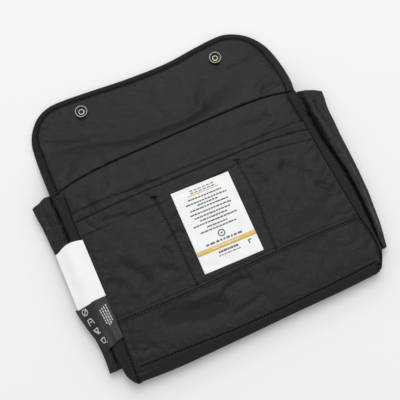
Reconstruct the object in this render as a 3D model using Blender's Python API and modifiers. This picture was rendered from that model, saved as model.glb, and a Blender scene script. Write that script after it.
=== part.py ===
"""Flap pouch of black nylon cloth, turned inside out and lying open on its front panel.

Run with: blender --background --python part.py

Frame: +X across the pouch, +Y from its bottom seam towards its open flap, +Z up, in metres.
The origin is under the middle of the whole pouch, on the surface that it lies on.
From that surface up lie the front panel, the compartment, the back panel, its pocket and its label.
The flap is joined to the back panel by an arched seam, and drops from it to the surface.
"""

import bmesh
import bpy
from math import cos, radians, sin

# Cloth and clearances.
CLOTH = 0.0006
TAPE = 0.0005
LABEL_CLOTH = 0.0004
GAP = 0.0003
PAST = 0.003  # how far a cutter runs past what it cuts

# Plan of the two panels. The seams are the stitch lines, and the edges are outside them.
MOUTH_Y = 0.047
BOTTOM_SEAM_Y = -0.124
BOTTOM_EDGE_Y = -0.137
SEAM_HALF_MOUTH = 0.1135
SEAM_HALF_BOTTOM = 0.118
ALLOWANCE = 0.010
BOTTOM_CORNER = 0.008
SIDE_BINDING_TOP_Y = 0.0485
MOUTH_BINDING_WIDTH = 0.0085
MOUTH_BINDING_INSET = 0.0035
BINDING_JOIN = 0.0006

# Arched seam between the back panel and the flap.
ARCH_END_Y = 0.0505
ARCH_RISE = 0.0095
ARCH_POWER = 5
ARCH_STEPS = 20

# Plan of the flap.
FLAP_HALF_ROOT = 0.125
FLAP_HALF_TIP = 0.1235
FLAP_TIP_Y = 0.137
FLAP_CORNER = 0.034
FLAP_DIP = 0.0035
FLAP_DIP_STEPS = 5
FLAP_TAPE_SIDE = 0.010
FLAP_TAPE_TIP = 0.0075
FLAP_TAPE_ROOT_Y = 0.0543
FLAP_STITCH_INSET = 0.0015
FLAP_STITCH_STEPS = 12

# Heights of the front panel's layers, each the layer's underside.
FRONT_TAPE_Z = 0.0
FRONT_LINING_Z = FRONT_TAPE_Z + TAPE + GAP
POST_Z = FRONT_LINING_Z + CLOTH + GAP
POST_FLANGE = 0.0005
FRONT_SHELL_Z = POST_Z + POST_FLANGE + GAP
FRONT_GUSSET_Z = FRONT_SHELL_Z + CLOTH + GAP
FRONT_TAPE_TOP = FRONT_GUSSET_Z + CLOTH + GAP + TAPE

# Heights of the back panel's layers.
BACK_TAPE_Z = 0.010
BACK_GUSSET_Z = BACK_TAPE_Z + TAPE + GAP
BACK_SHELL_Z = BACK_GUSSET_Z + CLOTH + GAP
BACK_LINING_Z = BACK_SHELL_Z + CLOTH + GAP
POCKET_Z = BACK_LINING_Z + CLOTH + GAP
BACK_TAPE_TOP = POCKET_Z + TAPE
LABEL_Z = POCKET_Z + CLOTH + GAP

# Heights of the flap's layers where it lies flat.
CAP_HEIGHT = 0.0012
FLAP_SHELL_Z = CAP_HEIGHT + GAP
FLAP_LINING_Z = FLAP_SHELL_Z + CLOTH + GAP
FLAP_TAPE_Z = FLAP_SHELL_Z - GAP - TAPE
FLAP_TAPE_TOP = FLAP_LINING_Z + CLOTH + GAP + TAPE
FLAP_LIFT = BACK_LINING_Z - FLAP_LINING_Z
DROP_START_Y = 0.059
DROP_LENGTH = 0.036
DROP_STEPS = 8

# Pocket, its threads and its label.
POCKET_TOP_Y = 0.0235
POCKET_BASE_Y = -0.080
HEM_STITCH_Y = 0.019
BASE_STITCH_Y = -0.0792
DIVIDER_X = 0.040
DIVIDER_TOP_Y = 0.012
THREAD = 0.0005
BARTACK = (0.006, 0.0016)
LABEL_SIZE = (0.057, 0.080)
LABEL_CENTRE = (0.0025, -0.033)

# Gussets. A side gusset is folded outwards, and the bottom one inwards.
GUSSET_TOP_Y = 0.0465
GUSSET_END_Y = -0.117
FOLD_HALF_MOUTH = 0.145
FOLD_HALF_END = 0.134
FOLD_POWER = 1.5
BOTTOM_FOLD_Y = -0.104
BOTTOM_GUSSET_HALF = 0.109
TURN_REACH = 0.0015
GUSSET_STATIONS = 7
FOLD_RADIUS = 0.0006
FOLD_Z = 0.0074

# Snap fasteners.
SNAP_X = 0.070
SOCKET_Y = 0.119
STUD_Y = 0.012
SNAP_STEPS = 24
CLOTH_HOLE = 0.0023
SPRING_RADIUS = 0.0043
SPRING_SPAN = (-75, 255)
SPRING_WIRE = 0.0005
SPRING_RISE = 0.0013

# Tags sewn in the left seam.
TAG_ROOT_X = -0.1138
TAG_FLAT_X = -0.1270
TAG_END_X = -0.1430
TAG_DROP = 0.0041
TAG_Z = BACK_TAPE_TOP + GAP + LABEL_CLOTH / 2
WHITE_TAG_Y = (-0.0555, 0.002)
CARE_LABEL_ROOT_Y = (-0.0562, -0.0945)
CARE_LABEL_END_Y = (-0.0565, -0.1010)
CARE_LABEL_END_X = (-0.143, -0.134)
TAG_COLUMNS = 8

# Joint axes.
MOUTH_AXIS = (0, BOTTOM_SEAM_Y, FOLD_Z)
FLAP_AXIS = (0, 0.0555, 0.015)
TAG_AXIS_X = -0.113
TAG_AXIS_Z = 0.0150
WHITE_TAG_AXIS = (TAG_AXIS_X, sum(WHITE_TAG_Y) / 2, TAG_AXIS_Z)
CARE_LABEL_AXIS = (TAG_AXIS_X, sum(CARE_LABEL_ROOT_Y) / 2, TAG_AXIS_Z)

# Colours are linear. Each material has a colour, a roughness and a metallic value.
FINISHES = {
    "shell_nylon": ((0.030, 0.031, 0.033), 0.62, 0.0),
    "lining_nylon": ((0.036, 0.037, 0.040), 0.50, 0.0),
    "pocket_nylon": ((0.032, 0.033, 0.035), 0.50, 0.0),
    "gusset_nylon": ((0.028, 0.029, 0.031), 0.42, 0.0),
    "binding_tape": ((0.019, 0.020, 0.022), 0.70, 0.0),
    "black_thread": ((0.014, 0.014, 0.016), 0.60, 0.0),
    "white_label": ((0.80, 0.81, 0.80), 0.55, 0.0),
    "black_satin": ((0.030, 0.037, 0.037), 0.30, 0.0),
    "snap_metal": ((0.60, 0.57, 0.48), 0.28, 1.0),
}


def clear_scene():
    """Remove every object that the file opened with."""
    for obj in list(bpy.data.objects):
        bpy.data.objects.remove(obj, do_unlink=True)


def new_collection(name):
    """A collection of the scene."""
    group = bpy.data.collections.new(name)
    bpy.context.scene.collection.children.link(group)
    return group


def finish(name, slot):
    """The material of one piece."""
    colour, roughness, metallic = FINISHES[slot]
    material = bpy.data.materials.new(name + "_" + slot)
    material.use_nodes = True
    shader = material.node_tree.nodes["Principled BSDF"]
    shader.inputs["Base Color"].default_value = (*colour, 1)
    shader.inputs["Roughness"].default_value = roughness
    shader.inputs["Metallic"].default_value = metallic
    material.diffuse_color = (*colour, 1)
    return material


def pivot(name, place, parent=None):
    """An empty on a joint's axis."""
    empty = bpy.data.objects.new(name, None)
    empty.empty_display_size = 0.01
    empty.location = place
    if parent:
        empty.parent = parent
        empty.location = [a - b for a, b in zip(place, world_place(parent))]
    POUCH.objects.link(empty)
    return empty


def world_place(empty):
    """Where an empty is in the world: pivots are only ever moved, never turned."""
    place = list(empty.location)
    if empty.parent:
        place = [a + b for a, b in zip(place, world_place(empty.parent))]
    return place


def add_piece(obj, slot, body=None):
    """Put a finished piece in the pouch, in its material, under its body's pivot."""
    obj.data.materials.clear()
    obj.data.materials.append(finish(obj.name, slot))
    POUCH.objects.link(obj)
    if body:
        obj.parent = body
        obj.location = [a - b for a, b in zip(obj.location, world_place(body))]
    return obj


def arc(centre, radius, start, end, steps=6):
    """Points along an arc, from the angle start to the angle end, in degrees."""
    angles = [radians(start + (end - start) * i / steps) for i in range(steps + 1)]
    return [(centre[0] + radius * cos(a), centre[1] + radius * sin(a)) for a in angles]


def mirrored(points):
    """The points across the middle of the pouch, in the reverse order."""
    return [(-x, y) for x, y in reversed(points)]


def solid(name, outline, low, high):
    """A flat outline in x and y, made solid between two heights, as a mesh object in no collection."""
    curve = bpy.data.curves.new(name, "CURVE")
    curve.dimensions = "2D"
    curve.fill_mode = "BOTH"
    curve.extrude = (high - low) / 2
    spline = curve.splines.new("POLY")
    spline.points.add(len(outline) - 1)
    for point, (x, y) in zip(spline.points, outline):
        point.co = (x, y, 0, 1)
    spline.use_cyclic_u = True
    return as_mesh(bpy.data.objects.new(name, curve), lift=(low + high) / 2)


def as_mesh(source, lift=0.0):
    """The mesh that an object evaluates to, welded and raised by lift, in place of the object."""
    name = source.name
    bpy.context.scene.collection.objects.link(source)
    evaluated = source.evaluated_get(bpy.context.evaluated_depsgraph_get())
    mesh = bpy.data.meshes.new_from_object(evaluated)
    shape = bmesh.new()
    shape.from_mesh(mesh)
    bmesh.ops.remove_doubles(shape, verts=shape.verts, dist=0.000001)
    bmesh.ops.translate(shape, verts=shape.verts, vec=(0, 0, lift))
    bmesh.ops.recalc_face_normals(shape, faces=shape.faces)
    shape.to_mesh(mesh)
    shape.free()
    bpy.data.objects.remove(source, do_unlink=True)
    return bpy.data.objects.new(name, mesh)


def cut(obj, cutter):
    """Cut one mesh object with another, which stays in the cutters' collection."""
    if cutter.name not in CUTTERS.objects:
        CUTTERS.objects.link(cutter)
        cutter.hide_render = True
        cutter.display_type = "WIRE"
    modifier = obj.modifiers.new("cut_" + cutter.name, "BOOLEAN")
    modifier.object = cutter
    modifier.operation = "DIFFERENCE"
    modifier.solver = "EXACT"


def rise(y):
    """How far the flap's cloth stands above its flat place, at y: it drops away from the arched seam."""
    t = min(max((y - DROP_START_Y) / DROP_LENGTH, 0), 1)
    return FLAP_LIFT * (1 - t * t * (3 - 2 * t))


def drape(obj):
    """Apply a flat piece's cuts, split it into strips across its drop, and lift it to the seam."""
    obj = as_mesh(obj)
    shape = bmesh.new()
    shape.from_mesh(obj.data)
    for step in range(DROP_STEPS + 1):
        line = (0, DROP_START_Y + DROP_LENGTH * step / DROP_STEPS, 0)
        parts = shape.verts[:] + shape.edges[:] + shape.faces[:]
        bmesh.ops.bisect_plane(shape, geom=parts, plane_co=line, plane_no=(0, 1, 0), dist=0.000001)
    for vertex in shape.verts:
        vertex.co.z += rise(vertex.co.y)
    shape.to_mesh(obj.data)
    shape.free()
    return obj


def seam_x(y):
    """Half the distance between the side seams at y."""
    t = (MOUTH_Y - y) / (MOUTH_Y - BOTTOM_SEAM_Y)
    return SEAM_HALF_MOUTH + (SEAM_HALF_BOTTOM - SEAM_HALF_MOUTH) * t


def edge_x(y):
    """Half the width of a panel at y, with its seam allowances."""
    return seam_x(y) + ALLOWANCE


def arch_line(half, shift):
    """Points of the arched seam, moved along y by shift, from right to left."""
    places = [half * (1 - 2 * i / ARCH_STEPS) for i in range(ARCH_STEPS + 1)]
    tops = [1 - (abs(x) / FLAP_HALF_ROOT) ** ARCH_POWER for x in places]
    return [(x, ARCH_END_Y + shift + ARCH_RISE * top) for x, top in zip(places, tops)]


def panel_outline(inset, top_line):
    """A panel's outline, drawn in by inset at its sides and bottom, under a top line."""
    bottom = BOTTOM_EDGE_Y + inset
    radius = BOTTOM_CORNER - inset
    centre = (edge_x(bottom) - inset - radius, bottom + radius)
    corner = arc(centre, radius, -90, 0)
    return mirrored(corner) + corner + top_line


def level_line(half, y):
    """A straight top line, from right to left."""
    return [(half, y), (-half, y)]


def flap_outline(side_inset, tip_inset, root):
    """The flap's outline, drawn in at its sides and tip, closed by a root line from left to right."""
    radius = FLAP_CORNER - tip_inset
    half = FLAP_HALF_TIP - side_inset
    tip = FLAP_TIP_Y - tip_inset
    corner = arc((half - radius, tip - radius), radius, 0, 90, 10)
    span = half - radius
    parts = [1 - i / FLAP_DIP_STEPS for i in range(1, FLAP_DIP_STEPS + 1)]
    dips = [(span * x, tip - FLAP_DIP * (1 - x * x)) for x in parts]
    return corner + dips + mirrored(dips[:-1]) + mirrored(corner) + root


def make_panels(front_name, back_name):
    """The two layers of cloth of each panel."""
    inset = TAPE + GAP
    mouth = level_line(edge_x(MOUTH_Y) - inset, MOUTH_Y)
    front = panel_outline(inset, mouth)
    back = panel_outline(inset, arch_line(edge_x(MOUTH_Y) - inset, -GAP / 2))
    lining = solid(front_name + "_lining", front, FRONT_LINING_Z, FRONT_LINING_Z + CLOTH)
    add_piece(lining, "lining_nylon")
    shell = solid(front_name + "_shell", front, FRONT_SHELL_Z, FRONT_SHELL_Z + CLOTH)
    for hole in snap_holes("stud_hole", STUD_Y):
        cut(shell, hole)
    add_piece(shell, "shell_nylon")
    for layer, low in (("lining", BACK_LINING_Z), ("shell", BACK_SHELL_Z)):
        piece = solid(back_name + "_" + layer, back, low, low + CLOTH)
        add_piece(piece, layer + "_nylon", BACK)


def snap_holes(name, y):
    """Two cutters through the cloth where a pair of snaps is set."""
    holes = []
    for side, x in (("left", -SNAP_X), ("right", SNAP_X)):
        ring = arc((x, y), CLOTH_HOLE, 0, 360, SNAP_STEPS)[:-1]
        holes.append(solid(name + "_" + side, ring, -PAST, FRONT_TAPE_TOP + PAST))
    return holes


def make_side_binding(name, side, low, high, body):
    """Tape folded over a side seam's raw edges, open towards the panel."""
    top = SIDE_BINDING_TOP_Y
    corner_y = BOTTOM_EDGE_Y + BOTTOM_CORNER
    outer = edge_x(BOTTOM_EDGE_Y)
    corner = arc((outer - BOTTOM_CORNER, corner_y), BOTTOM_CORNER, -90, 0)
    inner_low = seam_x(BOTTOM_EDGE_Y)
    band = [(inner_low, BOTTOM_EDGE_Y), *corner, (edge_x(top), top), (seam_x(top), top)]
    radius = BOTTOM_CORNER - TAPE
    inner_corner = arc((outer - BOTTOM_CORNER, corner_y), radius, -90, 0)
    room = [(inner_low - PAST, BOTTOM_EDGE_Y + TAPE), *inner_corner, (edge_x(top) - TAPE, top + PAST)]
    room.append((seam_x(top) - PAST, top + PAST))
    if side == "left":
        band = mirrored(band)
        room = mirrored(room)
    tape = solid(name + "_" + side, band, low, high)
    cut(tape, solid(tape.name + "_room", room, low + TAPE, high - TAPE))
    add_piece(tape, "binding_tape", body)


def make_bottom_binding(name, low, high, body):
    """Tape folded over the bottom seam's raw edges, between the two side bindings."""
    half = seam_x(BOTTOM_EDGE_Y) - BINDING_JOIN
    band = [(-half, BOTTOM_EDGE_Y), (half, BOTTOM_EDGE_Y), (half, BOTTOM_SEAM_Y), (-half, BOTTOM_SEAM_Y)]
    far = half + PAST
    low_y = BOTTOM_EDGE_Y + TAPE
    high_y = BOTTOM_SEAM_Y + PAST
    room = [(-far, low_y), (far, low_y), (far, high_y), (-far, high_y)]
    tape = solid(name + "_bottom", band, low, high)
    cut(tape, solid(tape.name + "_room", room, low + TAPE, high - TAPE))
    add_piece(tape, "binding_tape", body)


def make_mouth_binding():
    """Tape folded over the front panel's free edge, which is the rim of the mouth."""
    half = seam_x(MOUTH_Y) - MOUTH_BINDING_INSET
    high = FRONT_SHELL_Z + CLOTH + GAP + TAPE
    rim = MOUTH_Y + GAP + TAPE
    inner = rim - MOUTH_BINDING_WIDTH
    band = [(-half, inner), (half, inner), (half, rim), (-half, rim)]
    far = half + PAST
    room = [(-far, inner - PAST), (far, inner - PAST), (far, rim - TAPE), (-far, rim - TAPE)]
    tape = solid("mouth_binding", band, FRONT_TAPE_Z, high)
    cut(tape, solid("mouth_binding_room", room, FRONT_TAPE_Z + TAPE, high - TAPE))
    add_piece(tape, "binding_tape")


def sheet(name, columns, rows, place, thickness):
    """A grid whose corner (column, row) is put at place(column, row), made thick."""
    shape = bmesh.new()
    bmesh.ops.create_grid(shape, x_segments=columns, y_segments=rows, size=1)
    for vertex in shape.verts:
        column = round((vertex.co.x + 1) / 2 * columns)
        row = round((vertex.co.y + 1) / 2 * rows)
        vertex.co = place(column, row)
    mesh = bpy.data.meshes.new(name)
    shape.to_mesh(mesh)
    shape.free()
    obj = bpy.data.objects.new(name, mesh)
    modifier = obj.modifiers.new("thickness", "SOLIDIFY")
    modifier.thickness = thickness
    modifier.offset = 0
    modifier.use_even_offset = True
    return obj


def gusset_section(seam, edge, fold):
    """A side gusset's section in x and z: seam allowance, turn, leaf, outer fold, leaf, turn, allowance."""
    heights = [FRONT_GUSSET_Z + CLOTH / 2, FRONT_TAPE_TOP + GAP + CLOTH / 2]
    heights += [BACK_TAPE_Z - GAP - CLOTH / 2, BACK_GUSSET_Z + CLOTH / 2]
    hidden_end = edge - TAPE - 2 * GAP
    inner = seam - TURN_REACH
    lower_radius = (heights[1] - heights[0]) / 2
    upper_radius = (heights[3] - heights[2]) / 2
    lower = arc((inner, heights[0] + lower_radius), lower_radius, 270, 90)
    outer = arc((fold - FOLD_RADIUS, FOLD_Z), FOLD_RADIUS, -90, 90, 4)
    upper = arc((inner, heights[2] + upper_radius), upper_radius, 270, 90)
    return [(hidden_end, heights[0]), *lower, *outer, *upper, (hidden_end, heights[3])]


def make_side_gusset(side):
    """The side wall of the compartment, folded outwards between the two side seams."""
    sign = -1 if side == "left" else 1
    steps = len(gusset_section(seam_x(0), edge_x(0), FOLD_HALF_END)) - 1

    def place(column, row):
        t = row / (GUSSET_STATIONS - 1)
        y = GUSSET_TOP_Y + (GUSSET_END_Y - GUSSET_TOP_Y) * t
        fold = FOLD_HALF_MOUTH + (FOLD_HALF_END - FOLD_HALF_MOUTH) * t ** FOLD_POWER
        x, z = gusset_section(seam_x(y), edge_x(y), fold)[column]
        return (sign * x, y, z)

    add_piece(sheet("gusset_" + side, steps, GUSSET_STATIONS - 1, place, CLOTH), "gusset_nylon")


def make_bottom_gusset():
    """The bottom wall of the compartment, folded inwards between the two bottom seams."""
    hidden_end = BOTTOM_EDGE_Y + TAPE + 2 * GAP
    low = FRONT_GUSSET_Z + CLOTH / 2
    high = BACK_GUSSET_Z + CLOTH / 2
    fold = arc((BOTTOM_FOLD_Y - FOLD_RADIUS, FOLD_Z), FOLD_RADIUS, -90, 90, 4)
    section = [(hidden_end, low), (BOTTOM_SEAM_Y, low), *fold, (BOTTOM_SEAM_Y, high), (hidden_end, high)]

    def place(column, row):
        y, z = section[column]
        return (BOTTOM_GUSSET_HALF * (2 * row - 1), y, z)

    add_piece(sheet("gusset_bottom", len(section) - 1, 1, place, CLOTH), "gusset_nylon")


def wire(name, points, diameter, slot, body):
    """A round bead through points in space, such as a row of stitches or a spring's wire."""
    curve = bpy.data.curves.new(name, "CURVE")
    curve.dimensions = "3D"
    curve.bevel_depth = diameter / 2
    curve.bevel_resolution = 1
    curve.use_fill_caps = True
    spline = curve.splines.new("POLY")
    spline.points.add(len(points) - 1)
    for point, place in zip(spline.points, points):
        point.co = (*place, 1)
    add_piece(as_mesh(bpy.data.objects.new(name, curve)), slot, body)


def thread(name, points, body):
    """A row of stitches, as one bead of thread."""
    wire(name, points, THREAD, "black_thread", body)


def make_pocket():
    """The organiser pocket on the back panel's lining, with the threads that divide it in three."""
    top_half = seam_x(POCKET_TOP_Y) - GAP
    base_half = seam_x(POCKET_BASE_Y) - GAP
    outline = [(-base_half, POCKET_BASE_Y), (base_half, POCKET_BASE_Y), (top_half, POCKET_TOP_Y)]
    outline.append((-top_half, POCKET_TOP_Y))
    pocket = solid("organiser_pocket", outline, POCKET_Z, POCKET_Z + CLOTH)
    add_piece(pocket, "pocket_nylon", BACK)
    reach = top_half - 2 * THREAD
    z = LABEL_Z + THREAD / 2
    thread("pocket_hem_stitch", [(-reach, HEM_STITCH_Y, z), (reach, HEM_STITCH_Y, z)], BACK)
    thread("pocket_base_stitch", [(-reach, BASE_STITCH_Y, z), (reach, BASE_STITCH_Y, z)], BACK)
    length, width = BARTACK
    for side, x in (("left", -DIVIDER_X), ("right", DIVIDER_X)):
        start = DIVIDER_TOP_Y - width / 2 - THREAD
        stop = BASE_STITCH_Y + 3 * THREAD
        thread("pocket_divider_stitch_" + side, [(x, start, z), (x, stop, z)], BACK)
        bar = [(x - length / 2, DIVIDER_TOP_Y - width / 2), (x + length / 2, DIVIDER_TOP_Y - width / 2)]
        bar += [(px, DIVIDER_TOP_Y + width / 2) for px, py in reversed(bar)]
        tack = solid("pocket_bartack_" + side, bar, LABEL_Z, LABEL_Z + THREAD)
        add_piece(tack, "black_thread", BACK)


def make_label():
    """The woven label sewn on the middle section of the pocket."""
    half_x = LABEL_SIZE[0] / 2
    half_y = LABEL_SIZE[1] / 2
    corners = ((-1, -1), (1, -1), (1, 1), (-1, 1))
    outline = [(LABEL_CENTRE[0] + sx * half_x, LABEL_CENTRE[1] + sy * half_y) for sx, sy in corners]
    add_piece(solid("woven_label", outline, LABEL_Z, LABEL_Z + LABEL_CLOTH), "white_label", BACK)


def make_flap():
    """The flap: two layers of cloth, the tape folded over its edge, and its row of stitches."""
    inset = TAPE + GAP
    root = [(-x, y) for x, y in arch_line(FLAP_HALF_ROOT - inset, GAP / 2)]
    cloth = flap_outline(inset, inset, root)
    holes = snap_holes("socket_hole", SOCKET_Y)
    for layer, low in (("shell", FLAP_SHELL_Z), ("lining", FLAP_LINING_Z)):
        piece = solid("flap_" + layer, cloth, low, low + CLOTH)
        for hole in holes:
            cut(piece, hole)
        add_piece(drape(piece), layer + "_nylon", FLAP)
    make_flap_binding()
    make_flap_stitch()


def make_flap_binding():
    """Tape folded over the flap's raw edge, from one end of the arched seam to the other."""
    ends = [(-FLAP_HALF_ROOT, FLAP_TAPE_ROOT_Y), (FLAP_HALF_ROOT, FLAP_TAPE_ROOT_Y)]
    full = flap_outline(0, 0, ends)
    past_y = FLAP_TAPE_ROOT_Y - PAST
    inner_half = FLAP_HALF_ROOT - FLAP_TAPE_SIDE
    middle = flap_outline(FLAP_TAPE_SIDE, FLAP_TAPE_TIP, [(-inner_half, past_y), (inner_half, past_y)])
    slot_half = FLAP_HALF_ROOT - TAPE
    slot = flap_outline(TAPE, TAPE, [(-slot_half, past_y), (slot_half, past_y)])
    tape = solid("flap_binding", full, FLAP_TAPE_Z, FLAP_TAPE_TOP)
    cut(tape, solid("flap_binding_middle", middle, FLAP_TAPE_Z - PAST, FLAP_TAPE_TOP + PAST))
    cut(tape, solid("flap_binding_room", slot, FLAP_TAPE_Z + TAPE, FLAP_TAPE_TOP - TAPE))
    add_piece(drape(tape), "binding_tape", FLAP)


def make_flap_stitch():
    """The row of stitches along the inner edge of the flap's tape."""
    side = FLAP_TAPE_SIDE - FLAP_STITCH_INSET
    line = flap_outline(side, FLAP_TAPE_TIP - FLAP_STITCH_INSET, [])
    root = (FLAP_HALF_ROOT - side, FLAP_TAPE_ROOT_Y + THREAD)
    parts = [i / FLAP_STITCH_STEPS for i in range(FLAP_STITCH_STEPS)]
    right = [(root[0] + (line[0][0] - root[0]) * t, root[1] + (line[0][1] - root[1]) * t) for t in parts]
    path = right + line + mirrored(right)
    z = FLAP_TAPE_TOP + GAP + THREAD / 2
    thread("flap_topstitch", [(x, y, z + rise(y)) for x, y in path], FLAP)


def turned(name, profile, x, y, slot, body=None):
    """A profile of radii and heights, turned about an upright axis at x, y."""
    shape = bmesh.new()
    corners = [shape.verts.new((radius, 0, z)) for radius, z in profile]
    for start, end in zip(corners, corners[1:]):
        shape.edges.new((start, end))
    if profile[0][0] > 0:
        shape.edges.new((corners[-1], corners[0]))
    mesh = bpy.data.meshes.new(name)
    shape.to_mesh(mesh)
    shape.free()
    obj = bpy.data.objects.new(name, mesh)
    obj.location = (x, y, 0)
    screw = obj.modifiers.new("turn", "SCREW")
    screw.steps = SNAP_STEPS
    screw.render_steps = SNAP_STEPS
    screw.use_merge_vertices = True
    screw.merge_threshold = 0.00001
    screw.use_smooth_shade = True
    return add_piece(obj, slot, body)


def make_socket_side(side, x):
    """The flap's half of a snap: a cap riveted through the cloth into a socket with a spring ring."""
    floor = FLAP_LINING_Z + CLOTH + GAP
    barrel_top = floor + 0.0013
    cap = [(0, 0.0007), (0.0014, 0.0007), (0.0014, barrel_top), (0.0032, barrel_top)]
    cap += [(0.0032, barrel_top - 0.0004), (0.0019, barrel_top - 0.0005), (0.0019, CAP_HEIGHT)]
    cap += [(0.0058, CAP_HEIGHT), (0.0063, 0.0008), (0.0060, 0.0002), (0.0050, 0), (0, 0)]
    turned("snap_cap_" + side, cap, x, SOCKET_Y, "snap_metal", FLAP)
    rim = floor + 0.0029
    socket = [(0.0056, rim), (0.0061, rim - 0.0002), (0.0063, rim - 0.0007), (0.0063, floor + 0.0004)]
    socket += [(0.0059, floor), (0.0022, floor), (0.0022, floor + 0.0005), (0.0040, floor + 0.0005)]
    socket += [(0.0049, floor + 0.0009), (0.0049, floor + 0.0017), (0.0043, floor + 0.0020)]
    socket += [(0.0043, rim - 0.0004), (0.0048, rim)]
    turned("snap_socket_" + side, socket, x, SOCKET_Y, "snap_metal", FLAP)
    ring = arc((x, SOCKET_Y), SPRING_RADIUS, *SPRING_SPAN, SNAP_STEPS)
    spring = [(px, py, floor + SPRING_RISE) for px, py in ring]
    wire("snap_spring_" + side, spring, SPRING_WIRE, "snap_metal", FLAP)


def make_stud_side(side, x):
    """The front panel's half of a snap: a post set through the shell into a stud."""
    base = FRONT_SHELL_Z + CLOTH + GAP
    top = base + 0.0040
    stud = [(0.0030, top), (0.0038, top - 0.0003), (0.00415, top - 0.0010), (0.0036, top - 0.0020)]
    stud += [(0.0036, base + 0.0009), (0.0054, base + 0.0006), (0.0058, base + 0.0003)]
    stud += [(0.0056, base), (0.0019, base), (0.0019, top)]
    turned("snap_stud_" + side, stud, x, STUD_Y, "snap_metal")
    post_top = top - 0.0003
    post = [(0.0016, post_top), (0.0016, POST_Z + POST_FLANGE), (0.0050, POST_Z + POST_FLANGE)]
    post += [(0.0050, POST_Z), (0.0011, POST_Z), (0.0011, post_top)]
    turned("stud_post_" + side, post, x, STUD_Y, "snap_metal")


def tag_height(x):
    """The height of a tag's middle at x: level over the seam's tape, then sinking towards the gusset."""
    t = min(max((TAG_FLAT_X - x) / (TAG_FLAT_X - TAG_END_X), 0), 1)
    return TAG_Z - TAG_DROP * t * t * (3 - 2 * t)


def make_tags():
    """The blank white tag and the satin care label, both sewn in the left seam."""

    def white_place(column, row):
        x = TAG_ROOT_X + (TAG_END_X - TAG_ROOT_X) * column / TAG_COLUMNS
        y = WHITE_TAG_Y[0] + (WHITE_TAG_Y[1] - WHITE_TAG_Y[0]) * row
        return (x, y, tag_height(x))

    def care_place(column, row):
        t = column / TAG_COLUMNS
        x = TAG_ROOT_X + (CARE_LABEL_END_X[row] - TAG_ROOT_X) * t
        y = CARE_LABEL_ROOT_Y[row] + (CARE_LABEL_END_Y[row] - CARE_LABEL_ROOT_Y[row]) * t
        return (x, y, tag_height(x))

    add_piece(sheet("white_tag", TAG_COLUMNS, 1, white_place, LABEL_CLOTH), "white_label", WHITE_TAG)
    add_piece(sheet("care_label", TAG_COLUMNS, 1, care_place, LABEL_CLOTH), "black_satin", CARE_LABEL)


clear_scene()
POUCH = new_collection("flap_pouch")
CUTTERS = new_collection("cutters")
BACK = pivot("mouth_pivot", MOUTH_AXIS)
FLAP = pivot("flap_pivot", FLAP_AXIS, BACK)
WHITE_TAG = pivot("white_tag_pivot", WHITE_TAG_AXIS, BACK)
CARE_LABEL = pivot("care_label_pivot", CARE_LABEL_AXIS, BACK)

make_panels("front_panel", "back_panel")
for hand in ("left", "right"):
    make_side_binding("front_binding", hand, FRONT_TAPE_Z, FRONT_TAPE_TOP, None)
    make_side_binding("back_binding", hand, BACK_TAPE_Z, BACK_TAPE_TOP, BACK)
    make_side_gusset(hand)
make_bottom_binding("front_binding", FRONT_TAPE_Z, FRONT_TAPE_TOP, None)
make_bottom_binding("back_binding", BACK_TAPE_Z, BACK_TAPE_TOP, BACK)
make_mouth_binding()
make_bottom_gusset()
make_pocket()
make_label()
make_flap()
for hand, place_x in (("left", -SNAP_X), ("right", SNAP_X)):
    make_socket_side(hand, place_x)
    make_stud_side(hand, place_x)
make_tags()
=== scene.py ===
"""The looks of the flap pouch: cloth, tapes, threads, snaps, labels and the studio around them.

Every shape is worked out in millimetres in the CAD model's frame, and turned to metres as its mesh is made.
The heights of stacked pieces all start from bed(x, y), so that the layers never cut through each other.
"""
from math import cos, pi, radians, sin

import bpy
import numpy as np
from mathutils import Matrix, Vector, noise


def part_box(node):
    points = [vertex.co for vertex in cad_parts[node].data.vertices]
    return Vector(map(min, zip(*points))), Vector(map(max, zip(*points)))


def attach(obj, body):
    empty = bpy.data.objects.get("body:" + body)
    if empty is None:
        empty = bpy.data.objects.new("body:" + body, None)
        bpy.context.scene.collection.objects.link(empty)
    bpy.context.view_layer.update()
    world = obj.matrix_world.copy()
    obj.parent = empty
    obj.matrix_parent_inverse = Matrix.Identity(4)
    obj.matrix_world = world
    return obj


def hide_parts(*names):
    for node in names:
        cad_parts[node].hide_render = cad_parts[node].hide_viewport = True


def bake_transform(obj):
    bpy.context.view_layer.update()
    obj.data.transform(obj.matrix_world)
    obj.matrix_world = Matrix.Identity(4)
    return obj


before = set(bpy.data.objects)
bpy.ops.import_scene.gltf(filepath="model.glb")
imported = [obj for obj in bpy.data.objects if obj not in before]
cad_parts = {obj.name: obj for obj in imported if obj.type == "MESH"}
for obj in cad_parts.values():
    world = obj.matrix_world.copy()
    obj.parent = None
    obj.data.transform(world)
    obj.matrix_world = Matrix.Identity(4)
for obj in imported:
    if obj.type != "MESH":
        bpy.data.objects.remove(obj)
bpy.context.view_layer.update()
MM = 0.001


def extent(node):
    """The lowest and highest corner of a CAD node, in millimetres."""
    low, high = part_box(node)
    return np.array(low) / MM, np.array(high) / MM


def middle(node):
    """The middle of a CAD node's box, in millimetres."""
    low, high = extent(node)
    return (low + high) / 2


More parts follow.
